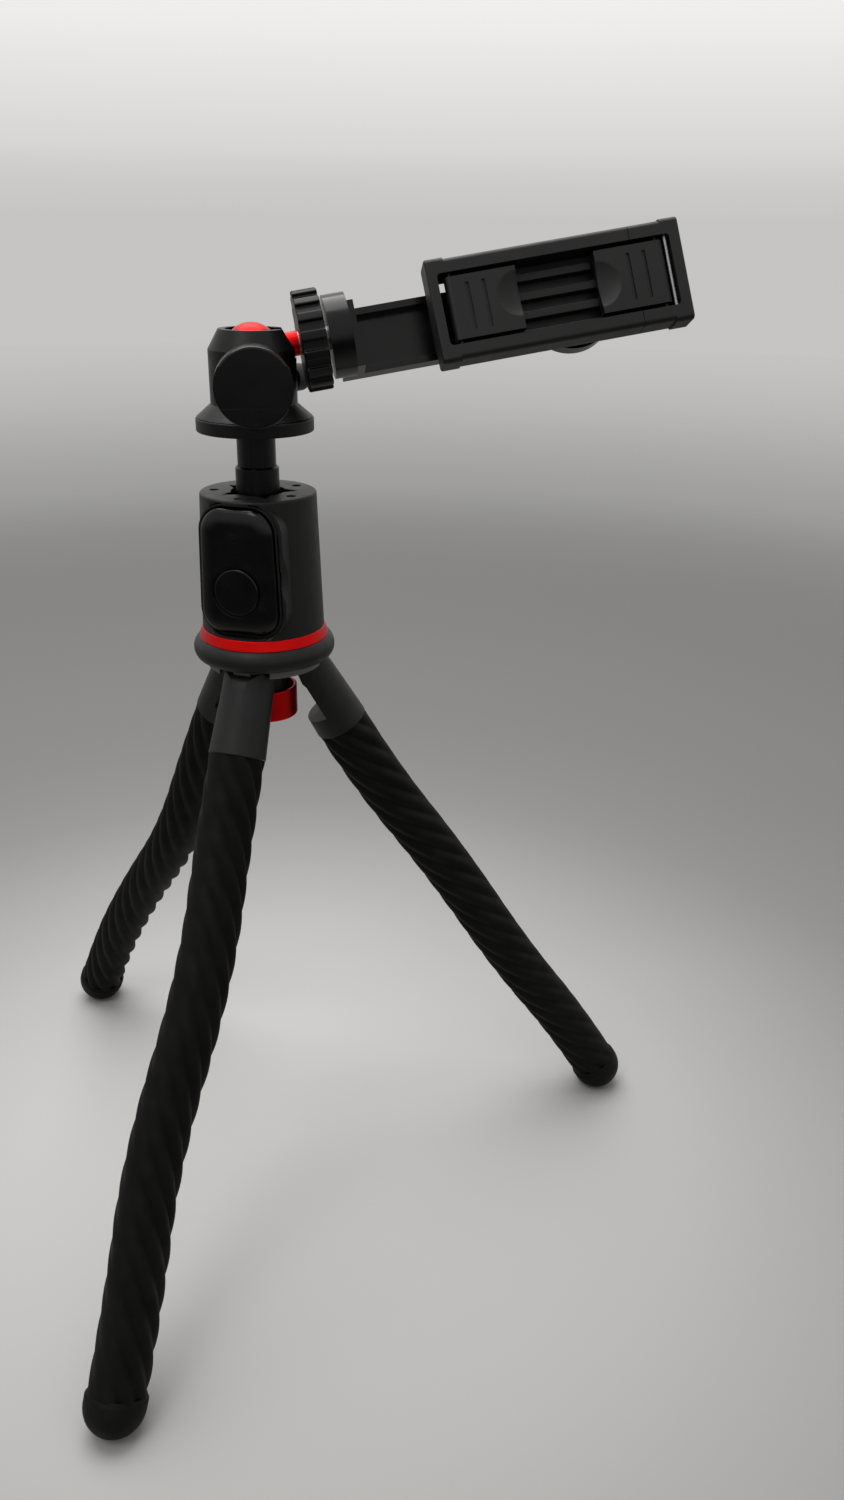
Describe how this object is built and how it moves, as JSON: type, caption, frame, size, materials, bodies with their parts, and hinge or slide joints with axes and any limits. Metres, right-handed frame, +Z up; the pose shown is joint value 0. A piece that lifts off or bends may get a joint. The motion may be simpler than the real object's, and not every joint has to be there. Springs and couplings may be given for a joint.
{
  "type": "flexible leg tripod",
  "caption": "Small tripod with bendable rubber legs, a telescoping pole with a docked remote, a ball head and a spring-loaded phone clamp.",
  "frame": {"origin": "on the pole axis, at the height of the floor that the three feet stand on", "axes": "+Z up along the pole; +X towards the side that the phone arm points to, turned 9.5 degrees from it; -Y towards the viewer of the picture"},
  "size_m": [0.2096, 0.2044, 0.2903],
  "materials": {
    "shell_plastic": "fine matte charcoal",
    "head_plastic": "smooth satin black",
    "gloss_black": "polished black",
    "grey_plastic": "matte light grey",
    "tube_black": "satin black",
    "red_anodised": "red anodised",
    "steel": "bright",
    "core_metal": "plain wire",
    "leg_rubber": "matte",
    "foot_rubber": "matte, slightly paler",
    "board_green": "satin"
  },
  "bodies": {
    "handle": {"handle_shell": "shell_plastic", "remote_cradle": "shell_plastic", "top_screws": "tube_black", "accent_ring": "red_anodised", "hub_ring": "shell_plastic", "hub_plate": "grey_plastic", "leg_hinge_pins": "steel", "pole_sleeve": "head_plastic"},
    "lock_knob": {"lock_knob": "red_anodised", "lock_knob_screw": "steel"},
    "remote": {"remote_shell": "gloss_black", "remote_back": "head_plastic", "remote_board": "board_green", "coin_cell": "steel"},
    "shutter_button": {"shutter_button": "gloss_black"},
    "large_tube": {"pole_tube_large": "tube_black"},
    "middle_tube": {"pole_tube_middle": "tube_black"},
    "small_tube": {"pole_tube_small": "tube_black", "head_base": "head_plastic"},
    "head": {"ball_housing": "head_plastic", "ball_seat": "grey_plastic"},
    "tension_knob": {"tension_knob": "head_plastic", "tension_screw": "steel"},
    "pan_knob": {"pan_knob": "head_plastic"},
    "ball": {"red_ball": "red_anodised", "head_stud": "steel"},
    "lock_wheel": {"lock_wheel": "head_plastic"},
    "holder_arm": {"holder_arm": "gloss_black"},
    "clamp": {"pivot_bolt": "steel", "clamp_frame": "shell_plastic", "guide_rails": "shell_plastic", "return_springs": "steel", "left_flap_pin": "tube_black"},
    "left_flap": {"left_flap": "shell_plastic"},
    "slider": {"clamp_slider": "shell_plastic", "slider_rods": "steel", "slider_bar": "steel", "right_flap_pin": "tube_black"},
    "right_flap": {"right_flap": "shell_plastic"},
    "front_leg_upper": {"front_leg_socket": "shell_plastic", "front_leg_skin_upper": "leg_rubber", "front_leg_core_upper": "core_metal"},
    "front_leg_lower": {"front_leg_skin_lower": "leg_rubber", "front_leg_core_lower": "core_metal", "front_foot_cap": "foot_rubber"},
    "right_leg_upper": {"right_leg_socket": "shell_plastic", "right_leg_skin_upper": "leg_rubber", "right_leg_core_upper": "core_metal"},
    "right_leg_lower": {"right_leg_skin_lower": "leg_rubber", "right_leg_core_lower": "core_metal", "right_foot_cap": "foot_rubber"},
    "rear_leg_upper": {"rear_leg_socket": "shell_plastic", "rear_leg_skin_upper": "leg_rubber", "rear_leg_core_upper": "core_metal"},
    "rear_leg_lower": {"rear_leg_skin_lower": "leg_rubber", "rear_leg_core_lower": "core_metal", "rear_foot_cap": "foot_rubber"}
  },
  "joints": [
    {"name": "front_leg_fold", "type": "hinge", "parent": "handle", "child": "front_leg_upper", "pos_m": [-0.00365, -0.01258, 0.1675], "axis": [-0.9603, 0.279, 0], "range_deg": [-29, 0]},
    {"name": "front_leg_bend", "type": "hinge", "parent": "front_leg_upper", "child": "front_leg_lower", "pos_m": [-0.01891, -0.06508, 0.07976], "axis": [0.9603, -0.279, 0], "range_deg": [-30, 30]},
    {"name": "right_leg_fold", "type": "hinge", "parent": "handle", "child": "right_leg_upper", "pos_m": [0.01266, 0.00337, 0.1675], "axis": [0.2571, -0.9664, 0], "range_deg": [-29, 0]},
    {"name": "right_leg_bend", "type": "hinge", "parent": "right_leg_upper", "child": "right_leg_lower", "pos_m": [0.06486, 0.01717, 0.08034], "axis": [-0.2571, 0.9664, 0], "range_deg": [-30, 30]},
    {"name": "rear_leg_fold", "type": "hinge", "parent": "handle", "child": "rear_leg_upper", "pos_m": [-0.00952, 0.009, 0.1675], "axis": [0.6871, 0.7266, 0], "range_deg": [-29, 0]},
    {"name": "rear_leg_bend", "type": "hinge", "parent": "rear_leg_upper", "child": "rear_leg_lower", "pos_m": [-0.04644, 0.04391, 0.08135], "axis": [-0.6871, -0.7266, 0], "range_deg": [-30, 30]},
    {"name": "lock_knob_turn", "type": "hinge", "parent": "handle", "child": "lock_knob", "pos_m": [0, 0, 0.16], "axis": [0, 0, 1], "range_deg": [-360, 0]},
    {"name": "remote_release", "type": "slide", "parent": "handle", "child": "remote", "axis": [-0.279, -0.9603, 0], "range_m": [0, 0.015]},
    {"name": "button_press", "type": "slide", "parent": "remote", "child": "shutter_button", "axis": [0.279, 0.9603, 0], "range_m": [0, 0.0006], "stiffness_N_per_m": 300, "springref_m": -0.0004},
    {"name": "large_tube_slide", "type": "slide", "parent": "handle", "child": "large_tube", "axis": [0, 0, 1], "range_m": [0, 0.03]},
    {"name": "middle_tube_slide", "type": "slide", "parent": "large_tube", "child": "middle_tube", "axis": [0, 0, 1], "range_m": [0, 0.036]},
    {"name": "small_tube_slide", "type": "slide", "parent": "middle_tube", "child": "small_tube", "axis": [0, 0, 1], "range_m": [0, 0.044]},
    {"name": "head_pan", "type": "hinge", "parent": "small_tube", "child": "head", "pos_m": [0, 0, 0.245], "axis": [0, 0, 1], "continuous": true},
    {"name": "tension_knob_turn", "type": "hinge", "parent": "head", "child": "tension_knob", "pos_m": [0.00278, -0.0198, 0.2509], "axis": [0.1392, -0.9903, 0], "range_deg": [-360, 0]},
    {"name": "pan_knob_turn", "type": "hinge", "parent": "head", "child": "pan_knob", "pos_m": [0.00845, 0.01589, 0.2489], "axis": [0.4695, 0.8829, 0], "range_deg": [-360, 0]},
    {"name": "ball_tilt", "type": "hinge", "parent": "head", "child": "ball", "pos_m": [0, 0, 0.2572], "axis": [0.165, -0.9863, 0], "range_deg": [0, 80]},
    {"name": "lock_wheel_turn", "type": "hinge", "parent": "ball", "child": "lock_wheel", "pos_m": [0.01527, 0.00255, 0.25982], "axis": [0.9725, 0.1627, 0.1668], "range_deg": [-360, 0]},
    {"name": "holder_spin", "type": "hinge", "parent": "ball", "child": "holder_arm", "pos_m": [0.02188, 0.00366, 0.26095], "axis": [0.9725, 0.1627, 0.1668], "continuous": true},
    {"name": "clamp_turn", "type": "hinge", "parent": "holder_arm", "child": "clamp", "pos_m": [0.08394, 0.02098, 0.26892], "axis": [0.0895, -0.9217, 0.3773], "continuous": true},
    {"name": "left_flap_lift", "type": "hinge", "parent": "clamp", "child": "left_flap", "pos_m": [0.05227, 0.00519, 0.26754], "axis": [0.2151, -0.352, -0.9109], "range_deg": [0, 90]},
    {"name": "slider_pull", "type": "slide", "parent": "clamp", "child": "slider", "axis": [0.9725, 0.1627, 0.1668], "range_m": [0, 0.025], "stiffness_N_per_m": 60, "springref_m": -0.02},
    {"name": "right_flap_lift", "type": "hinge", "parent": "slider", "child": "right_flap", "pos_m": [0.10595, 0.01417, 0.27675], "axis": [-0.2151, 0.352, 0.9109], "range_deg": [0, 90]}
  ]
}
